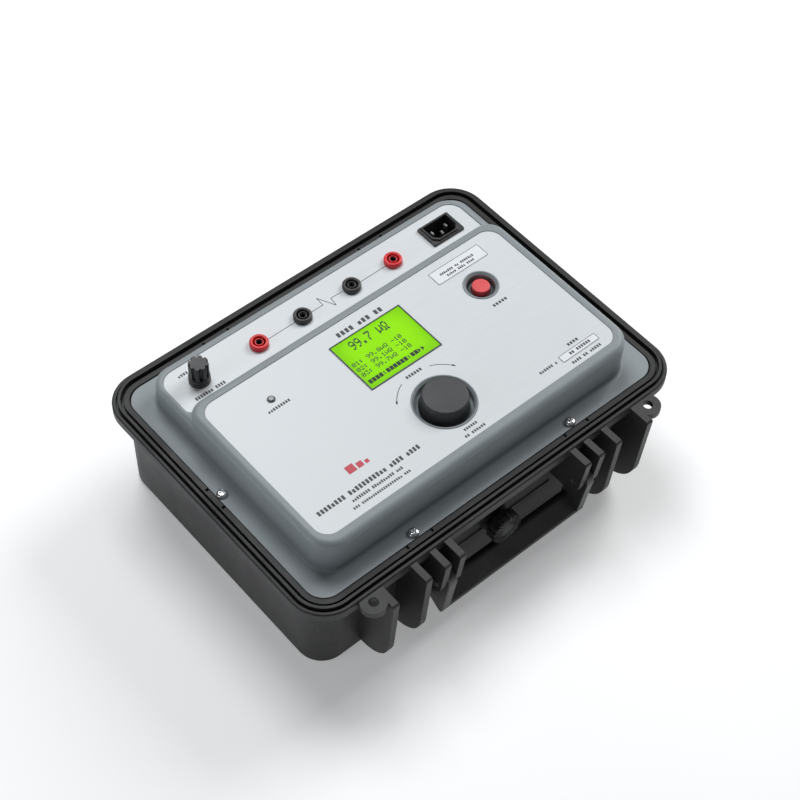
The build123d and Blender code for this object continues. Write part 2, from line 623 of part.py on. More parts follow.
# ---- battery fuse
def fuse_parts():
    seat = strip_top_z - label_sink + label_thick
    holder = tube(fuse_x, fuse_y, fuse_ring_r, fuse_bore_r, seat, seat + 3.6)
    holder = fillet(edges_at(holder, seat + 3.6), 0.5)
    holder += tube(fuse_x, fuse_y, fuse_body_r, fuse_bore_r, 78.0, seat)
    holder += disc(fuse_x, fuse_y, fuse_body_r, 75.0, 78.0)
    under = strip_top_z - wall
    nut = hex_bar(fuse_x, fuse_y, 18.0, under - 4.0, under)
    nut -= disc(fuse_x, fuse_y, fuse_body_r + 0.02, 90, 130)
    z0 = seat + fuse_cap_gap
    cap = disc(fuse_x, fuse_y, fuse_ring_r - 0.2, z0, z0 + 2.2)
    cap += disc(fuse_x, fuse_y, fuse_cap_r, z0, fuse_top_z)
    cap = fillet(edges_at(cap, fuse_top_z), 0.9)
    for k in range(fuse_flutes):
        a = 2 * math.pi * (k + 0.5) / fuse_flutes
        x, y = fuse_x + fuse_flute_ring * math.cos(a), fuse_y + fuse_flute_ring * math.sin(a)
        cap -= disc(x, y, fuse_flute_r, z0 + 3.4, fuse_top_z + 1)
    cap -= disc(fuse_x, fuse_y, fuse_stem_r, z0 - 1, z0 + 6)
    carrier = disc(fuse_x, fuse_y, fuse_stem_r - running_gap, 112.0, z0 + 5.6)
    carrier += tube(fuse_x, fuse_y, 4.9, 3.45, 104.0, 113.5)
    fuse = disc(fuse_x, fuse_y, 3.2, 80.0, 112.0)
    return holder, nut, cap, carrier, fuse


# ---- electronics inside the case
board_x0, board_x1, board_y0, board_y1, board_z = -118.0, 118.0, -96.0, 50.0, 92.0
post_points = [(sx * 112.0, y) for sx in (-1, 1) for y in (-90.0, -22.0, 44.0)]


def main_board():
    board = block(board_x0, board_x1, board_y0, board_y1, board_z, board_z + 1.6)
    for x, y in post_points:
        board -= disc(x, y, 1.7, 80, 100)
    return board


def board_standoffs():
    posts = [hex_bar(x, y, 6.0, board_z + 1.6, main_top_z - wall) for x, y in post_points]
    bores = [disc(x, y, 1.25, board_z, board_z + 9) for x, y in post_points]
    return group([post - bore for post, bore in zip(posts, bores)])


def board_screws():
    heads = [disc(x, y, 3.0, board_z - 2.2, board_z) for x, y in post_points]
    shanks = [disc(x, y, 1.2, board_z - 1, board_z + 8) for x, y in post_points]
    return group([head + shank for head, shank in zip(heads, shanks)])


def board_chips():
    """Larger packages on the lower face of the main board."""
    # centre X, centre Y, width, depth, height
    places = ((-60, -50, 28, 28, 3.0), (-10, -20, 22, 22, 2.4), (50, 10, 34, 14, 4.0),
              (70, -60, 18, 30, 5.0), (-70, 15, 12, 20, 3.0))
    return group([block(x - w / 2, x + w / 2, y - d / 2, y + d / 2, board_z - h, board_z)
                  for x, y, w, d, h in places])


def battery_parts():
    x0, x1, y0, y1, z0, z1 = -152.0, -54.0, -70.0, 0.0, floor_z, 64.0
    pack = block(x0, x1, y0, y1, z0, z1)
    pack = fillet(pack.edges().filter_by(Axis.Z), 3.0)
    pack = fillet(edges_at(pack, z1), 1.5)
    tabs = group([block(x0 + 14 + k * 60, x0 + 20 + k * 60, -12, -7, z1, z1 + 7) for k in (0, 1)])
    strap = block(-112, -94, y0 - 2, y1 + 2, z1, z1 + 2)
    for edge, sign in ((y0, -1), (y1, 1)):
        strap += block(-112, -94, *sorted((edge, edge + sign * 2)), z0, z1 + 2)
        strap += block(-112, -94, *sorted((edge, edge + sign * 16)), z0, z0 + 2)
        strap -= disc(-103, edge + sign * 10, 2.2, 0, 10)
    screws = group([disc(-103, y, 4.0, z0 + 2, z0 + 4.4) for y in (y0 - 10, y1 + 10)])
    return pack, tabs, strap, screws


def supply_parts():
    x0, x1, y0, y1 = 30.0, 150.0, 20.0, 104.0
    tray = block(x0, x1, y0, y1, floor_z, floor_z + 1.5)
    tray += block(x0, x0 + 1.5, y0, y1, floor_z, 44.0) + block(x1 - 1.5, x1, y0, y1, floor_z, 44.0)
    board = block(x0 + 3, x1 - 3, y0 + 3, y1 - 3, 12.0, 13.6)
    corners = [(x, y) for x in (x0 + 9, x1 - 9) for y in (y0 + 9, y1 - 9)]
    spacers = group([disc(x, y, 3.0, floor_z + 1.5, 12.0) for x, y in corners])
    core = block(44, 84, 42, 78, 13.6, 46.0)
    winding = block(49, 79, 34, 86, 17.0, 42.0) - core
    sink = block(100, 140, 84, 92, 13.6, 50.0)
    for k in range(6):
        sink += block(101.0 + k * 7, 103.5 + k * 7, 66, 84, 13.6, 50.0)
    return tray, board, spacers, core, winding, sink


def discharge_capacitors():
    cans = []
    for k in range(3):
        can = disc(-20.0, -70.0 + 42.0 * k, 17.5, floor_z, 70.0)
        can = fillet(edges_at(can, 70.0), 2.0)
        cans.append(can)
    return group(cans)


def discharge_relays():
    return group([block(40 + k * 34, 68 + k * 34, -90, -74, floor_z, 34.0) for k in range(3)])


# ---- write every node
def main():
    save("case_base", case_base())
    save("panel_gasket", panel_gasket())
    save("panel_frame", panel_frame())
    save("main_label", main_label())
    save("strip_label", strip_label())
    save("rating_plate", plate(*rating_plate_box))
    save("serial_plate", plate(*serial_plate_box))
    save("panel_screws", group([panel_screw(x, y) for x, y in screw_points]))
    save("panel_inserts", group([insert(x, y) for x, y in screw_points]))
    save("carry_handle", carry_handle())
    save("handle_pins", handle_pins())
    for name, part in zip(("purge_knob", "purge_body", "purge_seal", "purge_nut"), purge_parts()):
        save(name, part)
    display_names = ("display_bezel", "display_glass", "display_backlight", "display_board",
                     "display_standoffs")
    for name, part in zip(display_names, display_parts()):
        save(name, part)
    save("select_knob", select_knob())
    encoder_names = ("encoder_shaft", "encoder_plunger", "encoder_body", "encoder_nut")
    for name, part in zip(encoder_names, encoder_parts()):
        save(name, part)
    power_names = ("power_collar", "power_button", "power_switch_body", "power_spring")
    for name, part in zip(power_names, power_parts()):
        save(name, part)
    for name, part in zip(("discharge_lamp", "lamp_holder"), lamp_parts()):
        save(name, part)
    for name, x in jack_x.items():
        save(name, safety_jack(x))
    save("jack_contacts", group([jack_contact(x) for x in jack_x.values()]))
    save("jack_nuts", group([jack_nut(x) for x in jack_x.values()]))
    save("mains_inlet", mains_inlet())
    save("inlet_pins", inlet_pins())
    fuse_names = ("fuse_holder", "fuse_nut", "fuse_cap", "fuse_carrier", "battery_fuse")
    for name, part in zip(fuse_names, fuse_parts()):
        save(name, part)
    save("main_board", main_board())
    save("board_standoffs", board_standoffs())
    save("board_screws", board_screws())
    save("board_chips", board_chips())
    battery_names = ("battery_pack", "battery_tabs", "battery_strap", "strap_screws")
    for name, part in zip(battery_names, battery_parts()):
        save(name, part)
    supply_names = ("supply_tray", "supply_board", "supply_spacers", "transformer_core",
                    "transformer_winding", "heat_sink")
    for name, part in zip(supply_names, supply_parts()):
        save(name, part)
    save("discharge_capacitors", discharge_capacitors())
    save("discharge_relays", discharge_relays())


main()
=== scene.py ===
import bmesh
import bpy
import math
from mathutils import Matrix, Vector


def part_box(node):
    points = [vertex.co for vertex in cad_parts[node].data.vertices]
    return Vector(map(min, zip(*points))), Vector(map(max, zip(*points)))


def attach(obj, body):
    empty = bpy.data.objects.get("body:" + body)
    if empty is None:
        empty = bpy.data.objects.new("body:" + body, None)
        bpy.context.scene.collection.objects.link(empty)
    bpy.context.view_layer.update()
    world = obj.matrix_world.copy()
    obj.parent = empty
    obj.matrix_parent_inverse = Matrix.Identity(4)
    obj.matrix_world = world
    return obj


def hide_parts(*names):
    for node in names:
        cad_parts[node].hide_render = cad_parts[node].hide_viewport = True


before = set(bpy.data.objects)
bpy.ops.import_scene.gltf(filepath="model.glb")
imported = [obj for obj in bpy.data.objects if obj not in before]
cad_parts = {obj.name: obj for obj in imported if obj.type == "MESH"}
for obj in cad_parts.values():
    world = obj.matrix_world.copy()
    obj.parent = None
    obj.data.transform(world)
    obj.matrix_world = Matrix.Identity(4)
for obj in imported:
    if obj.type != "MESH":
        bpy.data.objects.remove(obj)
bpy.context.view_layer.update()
mm = 0.001

print("stage 1: camera and light")

cameraSet = {
    "place": (-0.5617, -0.6070, 1.1570),
    "right": (0.7577, -0.6518, 0.0330),
    "up": (0.5032, 0.6157, 0.6062),
    "back": (-0.4155, -0.4427, 0.7945),
    "lens": 80.73,
    "sensor": 36.0,
}
lightSet = {
    "key": {"place": (2.2, 0.2, 1.75), "size": 1.2, "power": 43.0, "colour": (1.0, 0.995, 0.985)},
    "roof": {"place": (0.25, 0.95, 1.95), "size": 1.0, "power": 24.5, "colour": (0.97, 0.985, 1.0)},
    "leftFill": {"place": (-1.7, 0.2, 0.55), "size": 1.0, "power": 5.0, "colour": (0.97, 0.985, 1.0)},
}
worldSet = {"colour": (0.93, 0.96, 1.0), "strength": 0.12}
aimAt = Vector((0.0, 0.0, 0.08))


def placeCamera(s):
    cam = bpy.data.objects.new("viewCamera", bpy.data.cameras.new("viewCamera"))
    cam.data.lens = s["lens"]
    cam.data.sensor_width = s["sensor"]
    right, up, back = (Vector(s[k]).normalized() for k in ("right", "up", "back"))
    turn = Matrix((right, up, back)).transposed().to_4x4()
    cam.matrix_world = Matrix.Translation(Vector(s["place"])) @ turn
    bpy.context.scene.collection.objects.link(cam)
    bpy.context.scene.camera = cam


def placeLight(name, s):
    lamp = bpy.data.lights.new(name, "AREA")
    lamp.size = s["size"]
    lamp.energy = s["power"]
    lamp.color = s["colour"]
    holder = bpy.data.objects.new(name, lamp)
    holder.location = s["place"]
    holder.rotation_euler = (aimAt - Vector(s["place"])).to_track_quat("-Z", "Y").to_euler()
    bpy.context.scene.collection.objects.link(holder)


def softWorld(s):
    world = bpy.data.worlds.new("studio")
    world.use_nodes = True
    sky = world.node_tree.nodes["Background"]
    sky.inputs["Color"].default_value = (*s["colour"], 1)
    sky.inputs["Strength"].default_value = s["strength"]
    bpy.context.scene.world = world


placeCamera(cameraSet)
for lightName, lightValues in lightSet.items():
    placeLight(lightName, lightValues)
softWorld(worldSet)
bpy.context.scene.view_settings.view_transform = "Standard"


print("stage 2: finishes")


def node(tree, kind, **settings):
    made = tree.nodes.new("ShaderNode" + kind)
    for key, value in settings.items():
        if hasattr(made, key):
            setattr(made, key, value)
        else:
            made.inputs[key.replace("_", " ")].default_value = value
    return made


def noise(tree, coords, scale, detail=3.0, rough=0.55, stretch=None):
    made = node(tree, "TexNoise", Scale=scale, Detail=detail, Roughness=rough)
    source = coords.outputs["Object"]
    if stretch:
        squeeze = node(tree, "Mapping")
        squeeze.inputs["Scale"].default_value = stretch
        tree.links.new(source, squeeze.inputs["Vector"])
        source = squeeze.outputs["Vector"]
    tree.links.new(source, made.inputs["Vector"])
    return made.outputs["Fac"]


def remap(tree, value, low, high, outLow, outHigh, smooth=False):
    made = node(tree, "MapRange", interpolation_type="SMOOTHSTEP" if smooth else "LINEAR")
    for key, number in zip(("From Min", "From Max", "To Min", "To Max"), (low, high, outLow, outHigh)):
        made.inputs[key].default_value = number
    tree.links.new(value, made.inputs["Value"])
    return made.outputs["Result"]


def mathNode(tree, operation, a, b=None):
    made = node(tree, "Math", operation=operation)
    for slot, value in zip(made.inputs, (a, b)):
        if value is None:
            continue
        if isinstance(value, (int, float)):
            slot.default_value = value
        else:
            tree.links.new(value, slot)
    return made.outputs["Value"]


def blendColours(tree, factor, a, b):
    made = node(tree, "Mix", data_type="RGBA")
    for slot, value in zip((made.inputs[6], made.inputs[7]), (a, b)):
        if isinstance(value, tuple):
            slot.default_value = (*value, 1)
        else:
            tree.links.new(value, slot)
    tree.links.new(factor, made.inputs[0])
    return made.outputs[2]


def bump(tree, height, strength, depth, under=None):
    made = node(tree, "Bump", Strength=strength, Distance=depth)
    tree.links.new(height, made.inputs["Height"])
    if under is not None:
        tree.links.new(under, made.inputs["Normal"])
    return made.outputs["Normal"]


def startMaterial(name):
    mat = bpy.data.materials.new(name)
    mat.use_nodes = True
    tree = mat.node_tree
    return mat, tree, tree.nodes["Principled BSDF"], node(tree, "TexCoord")


cornerLean = {"from": 0.985, "to": 0.80}


def edgeMask(tree, smoothed):
    # how far the rounded-off normal leans from the face: high on corners only
    face = node(tree, "NewGeometry").outputs["Normal"]
    lean = node(tree, "VectorMath", operation="DOT_PRODUCT")
    tree.links.new(face, lean.inputs[0])
    tree.links.new(smoothed, lean.inputs[1])
    return remap(tree, lean.outputs["Value"], cornerLean["from"], cornerLean["to"], 0.0, 1.0)


mouldedSet = {"speckShare": 0.6, "rubScale": 90, "smearScale": 22, "sleekFade": 0.0006, "sleekGrain": 0.25}


def mouldedFinish(name, s):
    mat, tree, shader, coords = startMaterial(name)
    rounded = node(tree, "Bevel", samples=4, Radius=s["corner"]).outputs["Normal"]
    cloud = remap(tree, noise(tree, coords, s["cloudScale"], 3), 0.3, 0.7, 0, 1)
    speck = remap(tree, noise(tree, coords, s["grainScale"] * mouldedSet["speckShare"], 2), 0.35, 0.72, 0, 1)
    colour = blendColours(tree, cloud, s["dark"], s["light"])
    colour = blendColours(tree, mathNode(tree, "MULTIPLY", speck, s["speck"]), colour, s["wearAndHighlight"])
    # lighter colour on the corners: partly rubbed wear, partly painted highlight where the edges catch light
    rubAndHighlight = mathNode(tree, "MULTIPLY", edgeMask(tree, rounded),
                   remap(tree, noise(tree, coords, mouldedSet["rubScale"], 4), 0.35, 0.65, 0.25, 1.0))
    colour = blendColours(tree, mathNode(tree, "MULTIPLY", rubAndHighlight, s["edgeWearAndHighlight"]), colour, s["wearAndHighlight"])
    grain = noise(tree, coords, s["grainScale"], 2, 0.5)
    if "sleekAbove" in s:
        # the sealing lip is moulded smoother than the walls below it; its darker colour there is painted
        # shade
        parts = node(tree, "SeparateXYZ")
        tree.links.new(coords.outputs["Object"], parts.inputs["Vector"])
        smoothLipShade = remap(tree, parts.outputs["Z"], s["sleekAbove"],
                      s["sleekAbove"] + mouldedSet["sleekFade"], 0, 1)
        colour = blendColours(tree, smoothLipShade, colour, s["smoothLipShade"])
        grain = mathNode(tree, "MULTIPLY", grain, remap(tree, smoothLipShade, 0, 1, 1.0, mouldedSet["sleekGrain"]))
    tree.links.new(colour, shader.inputs["Base Color"])
    smear = noise(tree, coords, mouldedSet["smearScale"], 4, 0.6)
    tree.links.new(remap(tree, smear, 0.3, 0.7, s["rough"] - 0.06, s["rough"] + 0.07),
                   shader.inputs["Roughness"])
    tree.links.new(bump(tree, grain, s["grain"], s["grainDepth"], rounded), shader.inputs["Normal"])
    shader.inputs["Specular IOR Level"].default_value = s["gloss"]
    return mat


def metalFinish(name, s):
    mat, tree, shader, coords = startMaterial(name)
    shader.inputs["Metallic"].default_value = 1.0
    tone = remap(tree, noise(tree, coords, 60, 3), 0.3, 0.7, 0, 1)
    tree.links.new(blendColours(tree, tone, s["dark"], s["light"]), shader.inputs["Base Color"])
    scratch = noise(tree, coords, s["scratchScale"], 4, 0.6, s["along"])
    tree.links.new(remap(tree, scratch, 0.3, 0.7, s["rough"] - 0.05, s["rough"] + 0.08),
                   shader.inputs["Roughness"])
    tree.links.new(bump(tree, scratch, 0.15, 0.00004), shader.inputs["Normal"])
    return mat


def filmFinish(name, s):
    # printed overlay: pale silver ink under a satin film with faint vertical streaks in colour and roughness
    mat, tree, shader, coords = startMaterial(name)
    streak = remap(tree, noise(tree, coords, 30, 5, 0.6, (1.0, 14.0, 1.0)), 0.3, 0.7, 0, 1)
    cloud = remap(tree, noise(tree, coords, 7, 2, 0.5), 0.3, 0.7, 0, 1)
    colour = blendColours(tree, streak, s["dark"], s["light"])
    colour = blendColours(tree, mathNode(tree, "MULTIPLY", cloud, 0.35), colour, s["cool"])
    tree.links.new(colour, shader.inputs["Base Color"])
    tree.links.new(remap(tree, streak, 0, 1, s["rough"] - 0.05, s["rough"] + 0.06),
                   shader.inputs["Roughness"])
    orangePeel = noise(tree, coords, 900, 2, 0.5)
    tree.links.new(bump(tree, orangePeel, 0.06, 0.00005), shader.inputs["Normal"])
    shader.inputs["Metallic"].default_value = s["metal"]
    return mat


def inkFinish(name, s):
    mat, tree, shader, coords = startMaterial(name)
    screen = remap(tree, noise(tree, coords, 1400, 2), 0.35, 0.65, 0, 1)
    tree.links.new(blendColours(tree, screen, s["dark"], s["light"]), shader.inputs["Base Color"])
    tree.links.new(remap(tree, screen, 0, 1, 0.42, 0.58), shader.inputs["Roughness"])
    tree.links.new(bump(tree, screen, 0.1, 0.00001), shader.inputs["Normal"])
    return mat


def edgeRise(tree, value, half, power):
    share = mathNode(tree, "DIVIDE", mathNode(tree, "ABSOLUTE", value), half)
    return mathNode(tree, "POWER", share, power)


def litFinish(name, s):
    # back-lit window: brightest in the middle, greener towards the bezel
    mat, tree, shader, coords = startMaterial(name)
    shift = node(tree, "Mapping", vector_type="POINT")
    shift.inputs["Location"].default_value = (-s["middle"][0], -s["middle"][1], 0)
    tree.links.new(coords.outputs["Object"], shift.inputs["Vector"])
    parts = node(tree, "SeparateXYZ")
    tree.links.new(shift.outputs["Vector"], parts.inputs["Vector"])
    across = edgeRise(tree, parts.outputs["X"], s["half"][0], s["edgePower"])
    along = edgeRise(tree, parts.outputs["Y"], s["half"][1], s["edgePower"])
    rim = mathNode(tree, "MINIMUM", mathNode(tree, "ADD", across, along), 1.0)
    patch = remap(tree, noise(tree, coords, 45, 2), 0.3, 0.7, 0.0, 0.25)
    shade = mathNode(tree, "MINIMUM", mathNode(tree, "ADD", rim, patch), 1.0)
    colour = blendColours(tree, shade, s["bright"], s["deep"])
    tree.links.new(colour, shader.inputs["Base Color"])
    tree.links.new(colour, shader.inputs["Emission Color"])
    shader.inputs["Emission Strength"].default_value = s["glow"]
    tree.links.new(remap(tree, noise(tree, coords, 200, 2), 0.3, 0.7, 0.50, 0.62), shader.inputs["Roughness"])
    shader.inputs["Specular IOR Level"].default_value = 0.12
    return mat


def turnedFinish(name, s):
    # moulded face with fine rings about its own middle
    mat, tree, shader, coords = startMaterial(name)
    shift = node(tree, "Mapping", vector_type="POINT")
    shift.inputs["Location"].default_value = (-s["middle"][0], -s["middle"][1], 0)
    tree.links.new(coords.outputs["Object"], shift.inputs["Vector"])
    rings = node(tree, "TexWave", wave_type="RINGS", rings_direction="Z", Scale=s["ringScale"],
                 Distortion=0.4)
    tree.links.new(shift.outputs["Vector"], rings.inputs["Vector"])
    rounded = node(tree, "Bevel", samples=4, Radius=s["corner"]).outputs["Normal"]
    grain = noise(tree, coords, s["grainScale"], 2, 0.5)
    cloud = remap(tree, noise(tree, coords, 40, 3), 0.3, 0.7, 0, 1)
    colour = blendColours(tree, cloud, s["dark"], s["light"])
    # lighter colour on the corners: partly rubbed wear, partly painted highlight where the edges catch light
    rubAndHighlight = mathNode(tree, "MULTIPLY", edgeMask(tree, rounded), s["edgeWearAndHighlight"])
    colour = blendColours(tree, rubAndHighlight, colour, s["wearAndHighlight"])
    tree.links.new(colour, shader.inputs["Base Color"])
    first = bump(tree, grain, 0.25, s["grainDepth"], rounded)
    tree.links.new(bump(tree, rings.outputs["Fac"], 0.3, s["ringDepth"], first), shader.inputs["Normal"])
    tree.links.new(remap(tree, grain, 0.3, 0.7, s["rough"] - 0.05, s["rough"] + 0.06),
                   shader.inputs["Roughness"])
    shader.inputs["Specular IOR Level"].default_value = s["gloss"]
    return mat


# the lighter edge colour in each finish below is partly rubbed wear and partly painted highlight; it also
# colours the light specks
mouldedLooks = {
    "caseBlack": {"dark": (0.013, 0.013, 0.014), "light": (0.022, 0.022, 0.023), "wearAndHighlight": (0.12, 0.12, 0.12),
                  "cloudScale": 14, "grainScale": 1100, "grain": 0.55, "grainDepth": 0.00022, "speck": 0.16,
                  "corner": 0.0006, "edgeWearAndHighlight": 0.55, "rough": 0.50, "gloss": 0.42,
                  # the darker colour used on the lip above this height is painted shade
                  "sleekAbove": 0.0957, "smoothLipShade": (0.008, 0.008, 0.0085)},
    "handleBlack": {"dark": (0.022, 0.022, 0.023), "light": (0.042, 0.042, 0.043), "wearAndHighlight": (0.13, 0.13, 0.13),
                    "cloudScale": 30, "grainScale": 1300, "grain": 0.35, "grainDepth": 0.00015, "speck": 0.10,
                    "corner": 0.0006, "edgeWearAndHighlight": 0.45, "rough": 0.42, "gloss": 0.45},
    "panelGrey": {"dark": (0.235, 0.268, 0.285), "light": (0.275, 0.310, 0.328), "wearAndHighlight": (0.40, 0.43, 0.44),
                  "cloudScale": 9, "grainScale": 1500, "grain": 0.22, "grainDepth": 0.00012, "speck": 0.10,
                  "corner": 0.0005, "edgeWearAndHighlight": 0.35, "rough": 0.46, "gloss": 0.40},
    "jackRed": {"dark": (0.62, 0.014, 0.022), "light": (0.78, 0.024, 0.034), "wearAndHighlight": (0.82, 0.12, 0.12),
                "cloudScale": 60, "grainScale": 1600, "grain": 0.12, "grainDepth": 0.00008, "speck": 0.05,
                "corner": 0.0004, "edgeWearAndHighlight": 0.35, "rough": 0.36, "gloss": 0.5},
    "jackBlack": {"dark": (0.020, 0.020, 0.021), "light": (0.032, 0.032, 0.033), "wearAndHighlight": (0.11, 0.11, 0.11),
                  "cloudScale": 60, "grainScale": 1600, "grain": 0.15, "grainDepth": 0.00008, "speck": 0.08,
                  "corner": 0.0004, "edgeWearAndHighlight": 0.45, "rough": 0.40, "gloss": 0.5},
    "inletBlack": {"dark": (0.016, 0.016, 0.017), "light": (0.028, 0.028, 0.029), "wearAndHighlight": (0.13, 0.13, 0.13),
                   "cloudScale": 50, "grainScale": 1400, "grain": 0.20, "grainDepth": 0.00008, "speck": 0.08,
                   "corner": 0.0004, "edgeWearAndHighlight": 0.55, "rough": 0.40, "gloss": 0.5},
    "fuseBlack": {"dark": (0.014, 0.014, 0.015), "light": (0.026, 0.026, 0.027), "wearAndHighlight": (0.12, 0.12, 0.12),
                  "cloudScale": 60, "grainScale": 1200, "grain": 0.25, "grainDepth": 0.00010, "speck": 0.10,
                  "corner": 0.0004, "edgeWearAndHighlight": 0.50, "rough": 0.38, "gloss": 0.5},
    "bezelBlack": {"dark": (0.045, 0.048, 0.052), "light": (0.060, 0.063, 0.068), "wearAndHighlight": (0.15, 0.15, 0.16),
                   "cloudScale": 50, "grainScale": 1500, "grain": 0.15, "grainDepth": 0.00006, "speck": 0.05,
                   "corner": 0.0003, "edgeWearAndHighlight": 0.30, "rough": 0.45, "gloss": 0.45},
    "buttonRed": {"dark": (0.68, 0.055, 0.065), "light": (0.80, 0.085, 0.095), "wearAndHighlight": (0.90, 0.30, 0.30),
                  "cloudScale": 80, "grainScale": 1500, "grain": 0.08, "grainDepth": 0.00006, "speck": 0.04,
                  "corner": 0.0006, "edgeWearAndHighlight": 0.40, "rough": 0.34, "gloss": 0.5},
    "lampLens": {"dark": (0.10, 0.108, 0.115), "light": (0.14, 0.148, 0.155), "wearAndHighlight": (0.35, 0.36, 0.37),
                 "cloudScale": 150, "grainScale": 1800, "grain": 0.05, "grainDepth": 0.00005, "speck": 0.05,
                 "corner": 0.0003, "edgeWearAndHighlight": 0.20, "rough": 0.22, "gloss": 0.6},
    "purgeBlack": {"dark": (0.013, 0.013, 0.014), "light": (0.024, 0.024, 0.025), "wearAndHighlight": (0.12, 0.12, 0.12),
                   "cloudScale": 80, "grainScale": 520, "grain": 0.80, "grainDepth": 0.0005, "speck": 0.30,
                   "corner": 0.0005, "edgeWearAndHighlight": 0.45, "rough": 0.52, "gloss": 0.42},
    "innerPlastic": {"dark": (0.05, 0.05, 0.052), "light": (0.07, 0.07, 0.072), "wearAndHighlight": (0.15, 0.15, 0.15),
                     "cloudScale": 40, "grainScale": 1300, "grain": 0.2, "grainDepth": 0.0001, "speck": 0.05,
                     "corner": 0.0003, "edgeWearAndHighlight": 0.2, "rough": 0.5, "gloss": 0.4},
    "foamSeal": {"dark": (0.02, 0.02, 0.02), "light": (0.035, 0.035, 0.035), "wearAndHighlight": (0.07, 0.07, 0.07),
                 "cloudScale": 60, "grainScale": 900, "grain": 0.8, "grainDepth": 0.0003, "speck": 0.25,
                 "corner": 0.0003, "edgeWearAndHighlight": 0.1, "rough": 0.8, "gloss": 0.3},
    "boardGreen": {"dark": (0.012, 0.10, 0.035), "light": (0.02, 0.16, 0.055), "wearAndHighlight": (0.25, 0.28, 0.12),
                   "cloudScale": 120, "grainScale": 800, "grain": 0.2, "grainDepth": 0.0001, "speck": 0.2,
                   "corner": 0.0002, "edgeWearAndHighlight": 0.3, "rough": 0.4, "gloss": 0.5},
    "cellWrap": {"dark": (0.02, 0.05, 0.17), "light": (0.03, 0.08, 0.24), "wearAndHighlight": (0.2, 0.22, 0.3),
                 "cloudScale": 30, "grainScale": 700, "grain": 0.15, "grainDepth": 0.0001, "speck": 0.1,
                 "corner": 0.0006, "edgeWearAndHighlight": 0.3, "rough": 0.35, "gloss": 0.5},
    "fuseTube": {"dark": (0.70, 0.69, 0.64), "light": (0.80, 0.79, 0.74), "wearAndHighlight": (0.86, 0.85, 0.80),
                 "cloudScale": 90, "grainScale": 900, "grain": 0.1, "grainDepth": 0.0001, "speck": 0.1,
                 "corner": 0.0003, "edgeWearAndHighlight": 0.3, "rough": 0.3, "gloss": 0.5},
}
metalLooks = {
    "screwPlate": {"dark": (0.62, 0.63, 0.64), "light": (0.86, 0.86, 0.87), "rough": 0.20,
                   "scratchScale": 500, "along": (1, 1, 1)},
    "pinPlate": {"dark": (0.66, 0.66, 0.64), "light": (0.84, 0.84, 0.82), "rough": 0.24,
                 "scratchScale": 300, "along": (1, 1, 0.2)},
    "groundSteel": {"dark": (0.42, 0.42, 0.43), "light": (0.56, 0.56, 0.57), "rough": 0.30,
                    "scratchScale": 350, "along": (0.2, 1, 1)},
    # near-black metal: painted shade of the deep jack holes, on the contacts
    "dullContact": {"dark": (0.020, 0.019, 0.017), "light": (0.060, 0.056, 0.050), "rough": 0.42,
                    "scratchScale": 400, "along": (1, 1, 3)},
    "turnedBrass": {"dark": (0.52, 0.38, 0.16), "light": (0.70, 0.54, 0.26), "rough": 0.28,
                    "scratchScale": 400, "along": (1, 1, 3)},
    "sheetMetal": {"dark": (0.60, 0.60, 0.61), "light": (0.74, 0.74, 0.75), "rough": 0.34,
                   "scratchScale": 260, "along": (0.2, 1, 1)},
    "windingWire": {"dark": (0.48, 0.20, 0.08), "light": (0.66, 0.32, 0.14), "rough": 0.35,
                    "scratchScale": 200, "along": (1, 0.2, 6)},
    "canSleeve": {"dark": (0.05, 0.06, 0.16), "light": (0.08, 0.10, 0.24), "rough": 0.38,
                  "scratchScale": 200, "along": (1, 1, 0.3)},
}
filmLooks = {
    "labelFilm": {"dark": (0.672, 0.705, 0.725), "light": (0.705, 0.735, 0.755),
                  "cool": (0.650, 0.695, 0.725), "rough": 0.38, "metal": 0.0},
    "plateFilm": {"dark": (0.76, 0.79, 0.82), "light": (0.82, 0.85, 0.88),
                  "cool": (0.78, 0.82, 0.86), "rough": 0.42, "metal": 0.0},
}
inkLooks = {
    "greyInk": {"dark": (0.022, 0.025, 0.028), "light": (0.048, 0.052, 0.057)},
    "redInk": {"dark": (0.50, 0.035, 0.06), "light": (0.60, 0.06, 0.09)},
    "segmentInk": {"dark": (0.006, 0.024, 0.003), "light": (0.012, 0.038, 0.004)},
}
lowGlass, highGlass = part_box("display_bezel")
lowKnob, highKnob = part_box("select_knob")
screenSet = {
    "middle": ((lowGlass.x + highGlass.x) / 2, (lowGlass.y + highGlass.y) / 2),
    "half": ((highGlass.x - lowGlass.x) / 2, (highGlass.y - lowGlass.y) / 2),
    "bright": (0.235, 0.64, 0.0004), "deep": (0.170, 0.50, 0.0006), "glow": 0.42,
    "edgePower": 5.0,
}
# the knob's lighter edge colour is partly rubbed wear and partly painted highlight
knobSet = {
    "middle": ((lowKnob.x + highKnob.x) / 2, (lowKnob.y + highKnob.y) / 2),
    "dark": (0.030, 0.032, 0.035), "light": (0.042, 0.045, 0.050), "wearAndHighlight": (0.13, 0.13, 0.135),
    "ringScale": 420.0, "ringDepth": 0.00006, "grainScale": 1300, "grainDepth": 0.00012,
    "corner": 0.0008, "edgeWearAndHighlight": 0.45, "rough": 0.46, "gloss": 0.45,
}
finishes = {name: mouldedFinish(name, s) for name, s in mouldedLooks.items()}
finishes.update({name: metalFinish(name, s) for name, s in metalLooks.items()})
finishes.update({name: filmFinish(name, s) for name, s in filmLooks.items()})
finishes.update({name: inkFinish(name, s) for name, s in inkLooks.items()})
finishes["litScreen"] = litFinish("litScreen", screenSet)
finishes["knobBlack"] = turnedFinish("knobBlack", knobSet)

